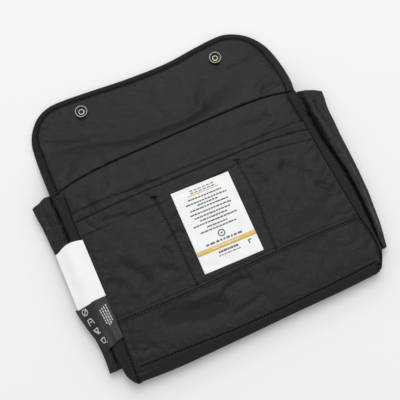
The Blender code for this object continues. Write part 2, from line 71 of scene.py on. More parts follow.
# Heights and lines read from the frame, in millimetres.
LINING_Z = extent("back_panel_lining")[1][2]
SHELL_Z = extent("back_panel_shell")[1][2]
FRONT_TAPE_Z = extent("front_binding_left")[1][2]
FRONT_LINING_Z = extent("front_panel_lining")[0][2]
FRONT_SHELL_Z = extent("front_panel_shell")[1][2]
FOLD_Z = middle("gusset_left")[2]
BOTTOM_SEAM = extent("back_binding_bottom")[1][1]
MOUTH_EDGE = extent("mouth_binding")[1][1]
ARCH_TOP = extent("back_panel_lining")[1][1]
FLAP_HALF = -extent("flap_binding")[0][0]
FLAP_FLAT_Z = extent("snap_socket_left")[0][2] - 0.3
SNAP_X = middle("snap_socket_right")[0]
SOCKET_Y = middle("snap_socket_left")[1]
STUD_Y = middle("snap_stud_left")[1]

CLOTH = 0.6
ARCH_RISE = 9.5
ARCH_POWER = 5

# How the real pouch lies: knots of (y, x) along its side seams and the outer edges of their tapes.
LEFT_SEAM = (
    (-137, -117.2), (-118, -116.2), (-94, -115.2), (-52, -114.4), (2, -113.6), (45, -112.4), (60, -112),
)
RIGHT_SEAM = (
    (-137, 112), (-131, 116.5), (-122, 120.2), (-78, 119.2), (-41, 117.6), (14, 116), (47, 114.6), (60, 114),
)
LEFT_EDGE = (
    (-137, -116), (-134, -119.2), (-131, -122), (-125, -125.6),
    (-115, -127.2), (-60, -125), (30, -124), (60, -125),
)
RIGHT_EDGE = (
    (-137, 113.2), (-134.5, 116.4), (-129, 120.4), (-120, 125), (-104, 126.6), (-88, 128),
    (-55, 129), (-33, 128), (-10, 125.8), (15, 124.4), (40, 125.2), (60, 126),
)
BOTTOM_LINE = ((-119, -132.4), (-94, -134.5), (-31, -135.9), (34, -136.1), (84, -136.6), (116, -136))
BOTTOM_STITCH = ((-117, -119), (-70, -122), (-24, -125.2), (15, -126), (69, -126), (118, -125))


def smooth(t):
    """An even step from 0 to 1 as t goes from 0 to 1."""
    t = np.clip(t, 0, 1)
    return t * t * (3 - 2 * t)


def bell(distance, width):
    """1 at no distance, falling to nothing past about twice the width."""
    return np.exp(-(distance / width) ** 2)


def through(knots, at):
    """The value at each place of a smooth curve through knots of (place, value)."""
    places, values = np.array(knots, float).T
    slopes = np.gradient(values, places)
    i = np.clip(np.searchsorted(places, at) - 1, 0, len(places) - 2)
    step = places[i + 1] - places[i]
    t = np.clip((at - places[i]) / step, 0, 1)
    start = values[i] * (1 + 2 * t) * (1 - t) ** 2 + slopes[i] * step * t * (1 - t) ** 2
    return start + values[i + 1] * t * t * (3 - 2 * t) + slopes[i + 1] * step * t * t * (t - 1)


def arch(x):
    """The y of the arched seam between the back panel and the flap."""
    return ARCH_TOP + 0.15 - ARCH_RISE * np.minimum(np.abs(x) / FLAP_HALF, 1.02) ** ARCH_POWER


def soft_noise(x, y, size, seed):
    """Smooth noise from about -1 to 1, with lumps of about size millimetres."""
    return np.array([noise.noise(Vector((a / size, b / size, seed * 7.31))) for a, b in zip(x, y)]) * 1.6


def creases(x, y, size, seed):
    """Crinkles from about -1 to 0.3: flat tops, and a sharp valley every size millimetres or so."""
    return 0.3 - 1.3 * np.exp(-(soft_noise(x, y, size, seed) / 0.16) ** 2)


def fold(x, y, route, width, depth):
    """A ridge, or with a depth below 0 a valley, along a route of points, fading out at its ends."""
    points = np.array(route, float)
    lengths = np.linalg.norm(np.diff(points, axis=0), axis=1)
    total = lengths.sum()
    nearest = np.full(len(x), 1e9)
    along = np.zeros(len(x))
    travelled = 0.0
    for start, end, length in zip(points, points[1:], lengths):
        direction = (end - start) / length
        t = np.clip((x - start[0]) * direction[0] + (y - start[1]) * direction[1], 0, length)
        gap = np.hypot(x - start[0] - direction[0] * t, y - start[1] - direction[1] * t)
        closer = gap < nearest
        nearest = np.where(closer, gap, nearest)
        along = np.where(closer, (travelled + t) / total, along)
        travelled += length
    return depth * bell(nearest, width) * smooth(along * 5) * smooth((1 - along) * 5)


def pucker(distance, along, pitch, reach, depth, seed):
    """Little folds that run out from a seam, at a distance from it and a place along it."""
    wander = np.array([noise.noise(Vector((a / pitch / 2.3, seed * 3.7, 0))) for a in along])
    slant = 0.35 * np.maximum(distance, 0)
    waves = np.sin(2 * pi * (along + slant) / pitch + 5 * wander)
    strength = np.array([0.5 + 0.9 * noise.noise(Vector((a / pitch / 3, 9.1, seed))) for a in along])
    reached = bell(distance - reach * 0.35, reach) * smooth(distance / 1.5)
    return depth * waves * np.clip(strength, 0, 1.2) * reached


# Folds in the back panel and its pocket: route, width and depth, all in millimetres.
BACK_FOLDS = (
    (((-96, -28), (-87, -38), (-80, -49), (-73, -64)), 6.5, -2.5),
    (((-113, -40), (-100, -49), (-91, -61)), 5.0, -2.0),
    (((-104, -50), (-92, -58), (-80, -72)), 5.5, 1.5),
    (((-68, -44), (-58, -54), (-46, -60)), 4.0, -1.2),
    (((-82, -90), (-58, -99), (-36, -104), (-16, -103)), 7.5, -3.2),
    (((-58, -86), (-36, -90), (-16, -92)), 5, 1.4),
    (((-22, -93), (-2, -90), (12, -94)), 3.5, -1.6),
    (((-24, -116), (2, -113), (14, -108)), 3.0, -1.0),
    (((76, -8), (90, -21), (100, -35)), 6.0, -1.9),
    (((60, 40), (78, 34), (96, 42)), 4.5, -1.2),
    (((86, 48), (100, 34)), 4, 0.9),
    (((70, 28), (90, 31), (110, 32)), 4.5, 0.8),
    (((98, -39), (107, -45), (114, -54)), 3.0, -1.7),
    (((98, -22), (113, -34)), 3.4, 0.8),
    (((94, -62), (112, -54)), 4, -1.0),
    (((-118, -102), (-104, -111), (-90, -112)), 3.0, -1.6),
    (((-112, -108), (-92, -114)), 3.2, 0.8),
    (((-60, 28), (-50, 8), (-48, -10)), 4, 0.7),
    (((50, 0), (56, -18), (54, -34)), 4, -0.9),
    (((48, 8), (62, -6), (66, -26)), 4, 0.7),
    (((-108, 44), (-96, 34), (-92, 24)), 4, -0.8),
    (((-100, 28), (-70, 34), (-40, 31)), 5, 0.6),
    (((-94, 10), (-78, 9), (-66, 6)), 2.6, -1.1),
    (((-58, 25), (-42, 27), (-24, 23)), 2.6, -1.2),
    (((-49, 19), (-38, 8)), 1.8, -0.9),
    (((-106, 27), (-86, 30)), 2.4, -0.9),
    (((-36, -14), (-28, -13), (-20, -9)), 2.0, -0.8),
    (((-36, -32), (-30, -30), (-24, -32)), 2.0, -0.8),
    (((-36, -50), (-28, -44), (-24, -42)), 2.2, -0.8),
    (((-48, -31), (-40, -29), (-28, -26)), 2.4, -1.1),
    (((-51, -33), (-48, -50)), 3.0, -1.4),
    (((-30, -62), (-22, -68), (-10, -72)), 3.0, -1.0),
    (((44, 2), (54, -2), (62, 0)), 2.4, -0.9),
    (((44, -14), (58, -20), (68, -18)), 2.6, -0.9),
    (((20, -92), (34, -100), (30, -112)), 5, -0.9),
    (((60, -90), (76, -104), (72, -116)), 4, -0.8),
    (((-70, 42), (-40, 46), (-10, 44)), 4, -0.5),
)


def bed(x, y):
    """The height of the top of the back panel's lining."""
    from_left = x - through(LEFT_SEAM, y)
    from_right = through(RIGHT_SEAM, y) - x
    from_bottom = y - through(BOTTOM_STITCH, x)
    from_arch = arch(x) - y
    nearest = np.minimum(np.minimum(from_left, from_right), np.minimum(from_bottom, from_arch))
    z = LINING_Z - 0.1 + 1.1 * (1 - np.exp(-np.maximum(nearest, 0) / 9))
    inside = smooth(nearest / 12)
    z = z + 0.55 * inside * soft_noise(x, y, 46, 1) + 0.42 * inside * soft_noise(x, y, 13, 2)
    z = z + 0.22 * inside * creases(x, y, 30, 7) * (1 + soft_noise(x, y, 40, 8))
    for route, width, depth in BACK_FOLDS:
        z = z + fold(x, y, route, width, depth) * smooth(nearest / 6)
    z = z + pucker(from_left, y, 8, 6, 0.42, 3) + pucker(from_right, y, 9, 6, 0.42, 4)
    z = z + pucker(from_bottom, x, 9, 5, 0.42, 5) + pucker(from_arch, x, 13, 7, 0.42, 6)
    return np.where(nearest > 0, z, LINING_Z - 0.1 + 0 * x)


# Mesh making.
def new_piece(name, points, faces, uv=None):
    """A mesh object from points in millimetres, with a UV map in millimetres."""
    mesh = bpy.data.meshes.new(name)
    mesh.from_pydata((np.asarray(points) * MM).tolist(), [], faces)
    if uv is not None:
        layer = mesh.uv_layers.new(name="cloth")
        corners = np.empty(len(mesh.loops), int)
        mesh.loops.foreach_get("vertex_index", corners)
        layer.data.foreach_set("uv", np.asarray(uv, float)[corners].ravel())
    mesh.shade_smooth()
    obj = bpy.data.objects.new(name, mesh)
    bpy.context.scene.collection.objects.link(obj)
    return obj


def grid_faces(columns, rows):
    """The quads of a grid of (columns + 1) by (rows + 1) points, row by row."""
    faces = []
    for r in range(rows):
        for c in range(columns):
            a = r * (columns + 1) + c
            faces.append((a, a + 1, a + columns + 2, a + columns + 1))
    return faces


def cloth(name, columns, rows, place, thickness=CLOTH):
    """A thick sheet: a grid whose points are place(u, v), u and v running from 0 to 1."""
    u, v = np.meshgrid(np.linspace(0, 1, columns + 1), np.linspace(0, 1, rows + 1))
    x, y, z = place(u.ravel(), v.ravel())
    points = np.stack(np.broadcast_arrays(x, y, z), axis=1)
    grid = points.reshape(rows + 1, columns + 1, 3)
    across = np.linalg.norm(np.diff(grid, axis=1), axis=2).cumsum(axis=1)
    along = np.linalg.norm(np.diff(grid, axis=0), axis=2).cumsum(axis=0)
    across = np.concatenate([np.zeros((rows + 1, 1)), across], axis=1)
    along = np.concatenate([np.zeros((1, columns + 1)), along], axis=0)
    uv = np.stack([across.ravel(), along.ravel()], axis=1)
    obj = new_piece(name, points, grid_faces(columns, rows), uv)
    thicken(obj, thickness)
    return obj


def thicken(obj, thickness):
    """Give a surface its thickness, behind its faces' fronts."""
    solid = obj.modifiers.new("thickness", "SOLIDIFY")
    solid.thickness = thickness * MM
    solid.offset = -1
    solid.use_even_offset = False


def settle(obj, body, slot, material, *nodes):
    """Finish a piece: its material, the CAD nodes it stands for, its slot (not used) and the body that it
    rides on.
    """
    obj.data.materials.append(material)
    if nodes:
        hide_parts(*nodes)
    if body:
        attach(obj, body)
    return obj


# Materials.
def node_material(name):
    """A new material, with its nodes, links and shader."""
    material = bpy.data.materials.new(name)
    material.use_nodes = True
    tree = material.node_tree
    return material, tree, tree.nodes["Principled BSDF"]


def put(tree, kind, **values):
    """Add a node and set its properties and its inputs, named with spaces as underscores."""
    node = tree.nodes.new(kind)
    for key, value in values.items():
        label = key.replace("_", " ")
        if label in node.inputs:
            node.inputs[label].default_value = value
        else:
            setattr(node, key, value)
    return node


def maths(tree, operation, first, second=None):
    """A Math node on one or two inputs, each a socket or a number."""
    node = tree.nodes.new("ShaderNodeMath")
    node.operation = operation
    for place, value in enumerate((first, second)):
        if value is None:
            continue
        if isinstance(value, (int, float)):
            node.inputs[place].default_value = value
        else:
            tree.links.new(value, node.inputs[place])
    return node.outputs[0]


def uv_axes(tree):
    """The two sockets of the cloth's own millimetre coordinates."""
    uv = put(tree, "ShaderNodeUVMap", uv_map="cloth")
    split = tree.nodes.new("ShaderNodeSeparateXYZ")
    tree.links.new(uv.outputs["UV"], split.inputs[0])
    return uv.outputs["UV"], split.outputs[0], split.outputs[1]


def wave(tree, axis, pitch, shift=0.0):
    """A rounded wave from 0 to 1 along an axis, one for each pitch."""
    turned = maths(tree, "MULTIPLY_ADD", axis, 2 * pi / pitch)
    turned.node.inputs[2].default_value = shift
    return maths(tree, "MULTIPLY_ADD", maths(tree, "SINE", turned), 0.5)


def shaded(tree, shader, cloud, colour, factors, places):
    """Drive the colour with a cloud: a share of the colour at each of two places on a ramp."""
    ramp = tree.nodes.new("ShaderNodeValToRGB")
    for element, factor, place in zip(ramp.color_ramp.elements, factors, places):
        element.position = place
        element.color = (*[c * factor for c in colour], 1)
    tree.links.new(cloud.outputs[0], ramp.inputs[0])
    tree.links.new(ramp.outputs[0], shader.inputs["Base Color"])


def noisy(tree, vector, **values):
    """A noise texture on a vector."""
    node = put(tree, "ShaderNodeTexNoise", **values)
    tree.links.new(vector, node.inputs["Vector"])
    return node


def tinted(tree, shader, colour, spread, vector, size):
    """Drive the colour with broad, faint variation about its mean."""
    cloud = noisy(tree, vector, Scale=1 / size, Detail=3.0, Roughness=0.6)
    shaded(tree, shader, cloud, colour, (1 - spread, 1 + spread), (0.3, 0.7))


def set_inputs(shader, **values):
    """Set constants on the shader's own sockets, named with spaces as underscores."""
    for key, value in values.items():
        shader.inputs[key.replace("_", " ")].default_value = value


def bumped(tree, shader, height, distance):
    """Turn a height socket into the shader's normal, distance millimetres deep."""
    bump = put(tree, "ShaderNodeBump", Strength=1.0, Distance=distance * MM)
    tree.links.new(height, bump.inputs["Height"])
    tree.links.new(bump.outputs[0], shader.inputs["Normal"])


def woven(name, colour, roughness, gloss, pitch=0.42, depth=0.05, crinkle=0.35):
    """Plain woven nylon: threads crossing over and under, fine uneven yarns and soft crinkles."""
    material, tree, shader = node_material(name)
    vector, across, along = uv_axes(tree)
    warp = wave(tree, across, pitch)
    weft = wave(tree, along, pitch)
    over = maths(tree, "SINE", maths(tree, "MULTIPLY", across, pi / pitch))
    under = maths(tree, "SINE", maths(tree, "MULTIPLY", along, pi / pitch))
    cross = maths(tree, "MULTIPLY_ADD", maths(tree, "MULTIPLY", over, under), 0.5)
    cross.node.inputs[2].default_value = 0.5
    lifted = maths(tree, "ADD", maths(tree, "MULTIPLY", warp, cross), maths(tree, "MULTIPLY", weft, 0.5))
    yarn = noisy(tree, vector, Scale=1.3, Detail=4.0, Roughness=0.7)
    height = maths(tree, "ADD", lifted, maths(tree, "MULTIPLY", yarn.outputs[0], 1.6))
    soft = noisy(tree, vector, Scale=0.16, Detail=5.0, Roughness=0.62, Distortion=0.6)
    height = maths(tree, "ADD", height, maths(tree, "MULTIPLY", soft.outputs[0], crinkle / depth))
    bumped(tree, shader, height, depth)
    tinted(tree, shader, colour, 0.10, vector, 9)
    set_inputs(shader, Roughness=roughness, Sheen_Weight=0.02, Sheen_Roughness=0.45, Specular_IOR_Level=gloss)
    return material


def ribbed(name, colour):
    """Grosgrain tape: cross ribs along the tape, each of fine yarns."""
    material, tree, shader = node_material(name)
    vector, across, along = uv_axes(tree)
    ribs = wave(tree, along, 1.1)
    yarns = wave(tree, across, 0.45)
    rough = noisy(tree, vector, Scale=0.9, Detail=4.0)
    height = maths(tree, "ADD", ribs, maths(tree, "MULTIPLY", yarns, 0.35))
    height = maths(tree, "ADD", height, maths(tree, "MULTIPLY", rough.outputs[0], 0.8))
    bumped(tree, shader, height, 0.12)
    tinted(tree, shader, colour, 0.16, vector, 5)
    set_inputs(shader, Roughness=0.52, Sheen_Weight=0.01, Specular_IOR_Level=0.22)
    return material


def thread_material(name, colour):
    """Twisted sewing thread, its plies slanting round it."""
    material, tree, shader = node_material(name)
    vector, across, along = uv_axes(tree)
    bumped(tree, shader, wave(tree, maths(tree, "ADD", across, along), 0.5), 0.05)
    tinted(tree, shader, colour, 0.2, vector, 3)
    set_inputs(shader, Roughness=0.7, Specular_IOR_Level=0.04)
    return material


def satin(name, colour, roughness, spread=0.03):
    """Woven label satin: fine glossy floats along one way."""
    material, tree, shader = node_material(name)
    vector, across, along = uv_axes(tree)
    cross = maths(tree, "MULTIPLY", wave(tree, along, 0.9), 0.4)
    bumped(tree, shader, maths(tree, "ADD", wave(tree, across, 0.28), cross), 0.02)
    tinted(tree, shader, colour, spread, vector, 12)
    set_inputs(shader, Roughness=roughness, Specular_IOR_Level=0.4)
    return material


def plated(name, colour, roughness):
    """Nickel plating with fine scratches and a little tarnish."""
    material, tree, shader = node_material(name)
    place = tree.nodes.new("ShaderNodeTexCoord")
    cloud = noisy(tree, place.outputs["Object"], Scale=900.0, Detail=3.0)
    shaded(tree, shader, cloud, colour, (0.55, 1.0), (0.25, 0.6))
    worn = maths(tree, "MULTIPLY_ADD", cloud.outputs[0], 0.25)
    worn.node.inputs[2].default_value = roughness
    tree.links.new(worn, shader.inputs["Roughness"])
    bumped(tree, shader, cloud.outputs[0], 0.01)
    set_inputs(shader, Metallic=1.0)
    return material


LINING = woven("lining_nylon", (0.0056, 0.0064, 0.0070), 0.42, 0.27, crinkle=1.0)
POCKET = woven("pocket_nylon", (0.0053, 0.0060, 0.0067), 0.42, 0.27, crinkle=1.0)
SHELL = woven("shell_nylon", (0.0080, 0.0084, 0.0089), 0.60, 0.25, pitch=0.6, depth=0.08)
GUSSET = woven("gusset_nylon", (0.0048, 0.0052, 0.0060), 0.38, 0.32, crinkle=1.8)
TAPE = ribbed("binding_tape", (0.0060, 0.0065, 0.0071))
THREAD = thread_material("black_thread", (0.0016, 0.0017, 0.0019))
WHITE = satin("white_satin", (0.86, 0.87, 0.865), 0.5)
BLACK_SATIN = satin("black_satin", (0.0085, 0.0105, 0.0110), 0.34, 0.12)
GREY_PRINT = satin("grey_print", (0.17, 0.175, 0.19), 0.6, 0.15)
PALE_PRINT = satin("pale_print", (0.62, 0.64, 0.64), 0.5, 0.1)
GOLD_PRINT = satin("gold_print", (0.78, 0.52, 0.13), 0.5, 0.05)
METAL = plated("snap_metal", (0.34, 0.325, 0.27), 0.16)


# Back panel.
# How far a cloth runs on under the tapes, and the least that their edges stand past it.
HIDDEN = 5.0
TAPE_COVER = 1.6
# The pocket's lines, as knots of (x, y), and its two dividers, as knots of (y, x).
POCKET_TOP = (
    (-125, 28.2), (-112, 28.3), (-88, 28), (-50, 25.4), (0, 24), (29, 22.9), (53, 21.9), (90, 21), (125, 20),
)
HEM_STITCH = (
    (-125, 20), (-109, 20.1), (-71, 20.3), (-40, 20.2), (-1, 19.2), (44, 17.8), (85, 15.6), (125, 9.6),
)
HEM_FOLD = (
    (-125, 5), (-99, 4.8), (-79, 4.9), (-58, 4.5), (-37, 3),
    (5, 5), (46, 7.2), (73, 6.9), (105, 1.6), (125, -2),
)
POCKET_BASE = ((-125, -77.4), (-113, -78), (-75, -80), (-37, -81), (42, -81.2), (92, -83), (125, -84.6))
DIVIDERS = (
    ((-90, -38), (-50, -38.2), (-32, -38), (2, -39.3), (10, -40), (20, -40.4)),
    ((-90, 39.6), (-57, 41.2), (-34, 43.8), (-15, 44.8), (7, 43.8), (20, 44.4)),
)
DIVIDER_TOP = 11.0


def grooves(x, y):
    """How far the stitched lines pull the pocket and the lining down together."""
    from_base = y - through(POCKET_BASE, x)
    pull = 0.95 * bell(from_base, 0.9) + 0.55 * bell(from_base - 2.8, 0.8)
    pull = pull - pucker(np.abs(from_base), x, 7, 5, 0.34, 14)
    for divider in DIVIDERS:
        within = smooth(from_base / 3) * smooth((DIVIDER_TOP + 3 - y) / 3)
        gap = x - through(divider, y)
        pull = pull + (0.9 * bell(gap, 1.0) - pucker(np.abs(gap), y, 6.5, 4, 0.16, 15)) * within
    return pull


def under(x, y):
    """The height of the lining's top, with its stitched lines and the gap along the pocket's top edge."""
    gap = 0.75 * bell(y - through(POCKET_TOP, x) - 0.9, 0.8)
    return bed(x, y) - grooves(x, y) - gap


def pocket_top(x, y):
    """The height of the pocket's top surface."""
    hem = through(HEM_FOLD, x)
    from_stitch = y - through(HEM_STITCH, x)
    z = under(x, y) + 0.70 + 0.60 * smooth((y - hem) / 2.0) - 0.25 * bell(y - hem + 0.4, 1.0)
    z = z - 0.8 * bell(from_stitch, 0.85) + pucker(np.abs(from_stitch), x, 7, 4, 0.28, 11)
    left, right = through(DIVIDERS[0], y), through(DIVIDERS[1], y)
    middle = 0.6 * np.sin(pi * np.clip((x - left) / (right - left), 0, 1))
    sides = 0.9 * np.sin(pi * np.clip((np.abs(x - 2) - 40) / 74, 0, 1))
    lift = smooth((y - through(POCKET_BASE, x)) / 40)
    return z + (middle + sides) * lift


def back_sheet(u, v):
    """The x and y of a sheet between the side seams, from the bottom seam to the arched seam."""
    low_y = BOTTOM_SEAM - HIDDEN
    y = low_y + (arch(236 * (u - 0.5) + 3) - 0.1 - low_y) * v
    left = np.maximum(through(LEFT_SEAM, y) - HIDDEN, through(LEFT_EDGE, y) + TAPE_COVER)
    right = np.minimum(through(RIGHT_SEAM, y) + HIDDEN, through(RIGHT_EDGE, y) - TAPE_COVER)
    return left + (right - left) * u, y


def hinge_dip(x, y):
    """How far the cloth on both sides turns down into the arched seam."""
    return 1.2 * bell(np.abs(arch(x) - y), 0.8)


def make_back():
    """The back panel's lining and shell, and the pocket sewn on the lining."""
    # The shares of the pocket's length up to its top fold and round it, its hem and its fold's radius.
    front, bend, hem, turn = 0.72, 0.06, 19, 0.32

    def lining(u, v):
        x, y = back_sheet(u, v)
        return x, y, under(x, y) - hinge_dip(x, y)

    def shell(u, v):
        x, y = back_sheet(u, v)
        return x, y, SHELL_Z - 0.3 + 0.25 * soft_noise(x, y, 40, 8) - hinge_dip(x, y)

    def pocket(u, v):
        """v runs up the pocket, round the fold at its top and down the hem behind it."""
        x = through(LEFT_SEAM, 0 * u - 30) - 1.5 + 235 * u
        edge = through(POCKET_TOP, x) - 0.6
        foot = through(POCKET_BASE, x) - 1.6
        angle = pi * np.clip((v - front) / bend, 0, 1)
        behind = np.clip((v - front - bend) / (1 - front - bend), 0, 1)
        y = np.where(v > front, edge + turn * np.sin(angle) - hem * behind, foot + (edge - foot) * v / front)
        left = through(LEFT_SEAM, y) - 1.5
        right = through(RIGHT_SEAM, y) + 1.5
        x = left + (right - left) * u
        return x, y, pocket_top(x, y) - turn * (1 - np.cos(angle)) * (v > front) - 0.02 * behind

    piece = cloth("back_lining_cloth", 260, 200, lining)
    across_hinge(settle(piece, None, "lining_nylon", LINING, "back_panel_lining"))
    piece = cloth("back_shell_cloth", 90, 120, shell)
    across_hinge(settle(piece, None, "shell_nylon", SHELL, "back_panel_shell"))
    piece = cloth("pocket_cloth", 260, 200, pocket)
    settle(piece, "back", "pocket_nylon", POCKET, "organiser_pocket")


def across_hinge(obj):
    """Bake the piece's place into its mesh, so that it rides on no body."""
    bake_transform(obj)


# Tapes folded over raw edges: the cloth's thickness, the stitched groove's depth and half width, and the
# heights of the back and front tapes' undersides.
TAPE_CLOTH = 0.5
GROOVE = 0.50
GROOVE_WIDTH = 0.55
BACK_TAPE_LOW = 10.25
FRONT_TAPE_LOW = 0.27
TAPE_ROW = 1.5


def u_section(leaf=15, bend=10):
    """A folded tape's section: the share along its leaf, and the turn from 90 to -90 degrees, in rows."""
    top = [(1 - (i / leaf) ** 1.4, pi / 2) for i in range(leaf)]
    turn = [(0, pi / 2 - pi * i / bend) for i in range(bend + 1)]
    low = [(i / leaf, -pi / 2) for i in range(1, leaf + 1)]
    return np.array(top + turn + low)


def ribbing(along, pitch, seed):
    """Uneven ribs across a tape, from -1 to 1."""
    return np.sin(along * 2 * pi / pitch + 3 * soft_noise(along, 0 * along, 14, seed))


def tape(name, path, inward, width, top, low, rows, ribs=0.0, seed=1, radius=1.6, slope=0.0):
    """Tape folded over an edge, from low to top(x, y). path(t) is its outer edge, seen anticlockwise."""
    section = u_section()
    count = len(section) - 1

    def place(u, v):
        share, turn = section[np.rint(u * count).astype(int)].T
        x, y = path(v)
        wide = width(v)
        depth = radius * (1 - np.cos(turn)) + share * np.maximum(wide - radius, 0.4)
        x, y = x + inward[0] * depth, y + inward[1] * depth
        high = top(x, y) - slope * (1 - share) ** 1.6
        high = high - GROOVE * bell(depth - wide + 1.6, GROOVE_WIDTH)
        high = high + ribs * ribbing(v * rows * TAPE_ROW, 5.6, seed) * share ** 0.5
        return x, y, low + (high - low) * (1 + np.sin(turn)) / 2

    return cloth(name, count, rows, place, thickness=TAPE_CLOTH)


def front_tape_top(x, y):
    """The height of the front panel's tapes."""
    return FRONT_TAPE_Z - 0.25 + 0 * x


def make_side_tapes():
    """The tapes over the side seams of the back and front panels."""
    for hand, seam, edge, sign in (("left", LEFT_SEAM, LEFT_EDGE, 1), ("right", RIGHT_SEAM, RIGHT_EDGE, -1)):
        low_y, high_y = -133.8 + 0.8 * sign, 51.2

        def path(t, edge=edge, sign=sign, low_y=low_y, high_y=high_y):
            y = low_y + (high_y - low_y) * (t if sign < 0 else 1 - t)
            return through(edge, y), y

        def width(t, seam=seam, path=path):
            x, y = path(t)
            return np.abs(x - through(seam, y)) + 0.2

        def back_top(x, y, seam=seam, sign=sign):
            inside = (through(seam, y) - x) * sign
            return LINING_Z + 0.25 + 0.55 * smooth(inside / 4) + 0.10 * soft_noise(x, y, 7, 12)

        piece = tape("back_tape_" + hand, path, (sign, 0), width, back_top, BACK_TAPE_LOW, 230, 0.26, 2)
        settle(piece, "back", "binding_tape", TAPE, "back_binding_" + hand)
        piece = tape("front_tape_" + hand, path, (sign, 0), width, front_tape_top, FRONT_TAPE_LOW, 100)
        settle(piece, "front", "binding_tape", TAPE, "front_binding_" + hand)


def make_bottom_tapes():
    """The tapes over the bottom seams."""

    def path(t):
        x = -117.5 + 232 * t
        return x, through(BOTTOM_LINE, x)

    def width(t):
        x, y = path(t)
        return through(BOTTOM_STITCH, x) - 0.3 - y

    def back_top(x, y):
        inside = smooth((through(BOTTOM_STITCH, x) - y) / 4)
        return LINING_Z + 0.25 + 0.35 * inside + 0.16 * soft_noise(x, y, 12, 13)

    piece = tape("back_tape_bottom", path, (0, 1), width, back_top, BACK_TAPE_LOW, 220, 0.08, 3, 1.3, 1.6)
    settle(piece, "back", "binding_tape", TAPE, "back_binding_bottom")
    piece = tape("front_tape_bottom", path, (0, 1), width, front_tape_top, FRONT_TAPE_LOW, 110)
    settle(piece, "front", "binding_tape", TAPE, "front_binding_bottom")


# Front panel.
def front_sheet(u, v):
    """The x, the y and the room round a place of a sheet from the bottom seam to the mouth's edge."""
    low_y = BOTTOM_SEAM - HIDDEN
    y = low_y + (MOUTH_EDGE - 1.2 - low_y) * v
    left = through(LEFT_SEAM, y) - HIDDEN
    right = np.minimum(through(RIGHT_SEAM, y) + HIDDEN, through(RIGHT_EDGE, y) - TAPE_COVER)
    x = left + (right - left) * u
    sides = np.minimum(x - through(LEFT_SEAM, y), through(RIGHT_SEAM, y) - x)
    ends = np.minimum(y - BOTTOM_SEAM, MOUTH_EDGE - 8 - y)
    return x, y, np.maximum(np.minimum(sides, ends), 0)


def make_front():
    """The front panel's two cloths, which lie underneath, and the tape over its free edge."""
    sag = 0.62
    mouth_top = 3.65

    def lining(u, v):
        x, y, room = front_sheet(u, v)
        sink = sag * (1 - np.exp(-room / 10))
        lumps = 0.14 * (1 + soft_noise(x, y, 30, 21)) * smooth(room / 8)
        return x, y, FRONT_LINING_Z + sag - sink + lumps

    def shell(u, v):
        x, y, room = front_sheet(u, v)
        return x, y, FRONT_SHELL_Z - 0.05 - 0.25 * smooth(room / 12) * (1 + soft_noise(x, y, 45, 22))

    def path(t):
        x = 112.5 - 222 * t
        return x, MOUTH_EDGE + 0 * x

    piece = cloth("front_lining_cloth", 130, 100, lining)
    settle(piece, "front", "lining_nylon", LINING, "front_panel_lining")
    piece = cloth("front_shell_cloth", 90, 70, shell)
    settle(piece, "front", "shell_nylon", SHELL, "front_panel_shell")
    width, top = (lambda t: 8.5 + 0 * t), (lambda x, y: mouth_top + 0 * x)
    piece = tape("mouth_tape", path, (0, -1), width, top, FRONT_TAPE_LOW, 150)
    settle(piece, "front", "binding_tape", TAPE, "mouth_binding")


# Gussets.
LEFT_FOLD = ((-118, -138.8), (-100, -137.8), (-77, -139.6), (-52, -141), (2, -142), (52, -145.2))
RIGHT_FOLD = ((-120, 131.6), (-95, 137.8), (-65, 142.2), (-23, 144.6), (20, 146.8), (44, 149.6), (55, 150))
LEFT_RIDGES = (
    (((-127, 44), (-130, 22), (-128, 6)), 3.2, 0.9),
    (((-141, 30), (-131, 24), (-125, 26)), 1.8, -0.9),
    (((-136, 40), (-137, 12)), 4.0, -0.5),
)
RIGHT_RIDGES = (
    (
        (
            (128, 44), (126.2, 15), (127.6, -10), (130, -33),
            (130.8, -55), (130.2, -72), (129.2, -88), (127.6, -108),
        ),
        1.6, -2.2,
    ),
    (((131.5, 45), (131, 27), (131.5, 8), (132.5, -13)), 2.0, 1.7),
    (((132.5, 2), (136.6, -24), (137, -46), (137, -69)), 2.0, 1.7),
    (((137, -58), (134.5, -80), (131.5, -106)), 1.8, 1.3),
    (((138, 44), (140, 14), (143, -14)), 2.8, -2.3),
    (((141.5, -16), (142, -50), (140, -78)), 1.8, -1.1),
    (((130, 19), (139, 8)), 1.6, 0.8),
    (((132, -6), (140, -17)), 1.6, 0.8),
    (((133, 33), (142, 25)), 1.7, 0.6),
)


def spline(points, steps):
    """A smooth curve through points, each an array of rows, at steps + 1 places evenly spread by index."""
    points = np.asarray(points, float)
    last = len(points) - 1
    t = np.linspace(0, last, steps + 1)
    i = np.minimum(t.astype(int), last - 1)
    f = (t - i)[:, None, None]
    before, a = points[np.maximum(i - 1, 0)], points[i]
    b, after = points[i + 1], points[np.minimum(i + 2, last)]
    square, cube = f * f, f * f * f
    bend = (2 * before - 5 * a + 4 * b - after) * square + (3 * a - before - 3 * b + after) * cube
    return a + 0.5 * ((b - before) * f + bend)


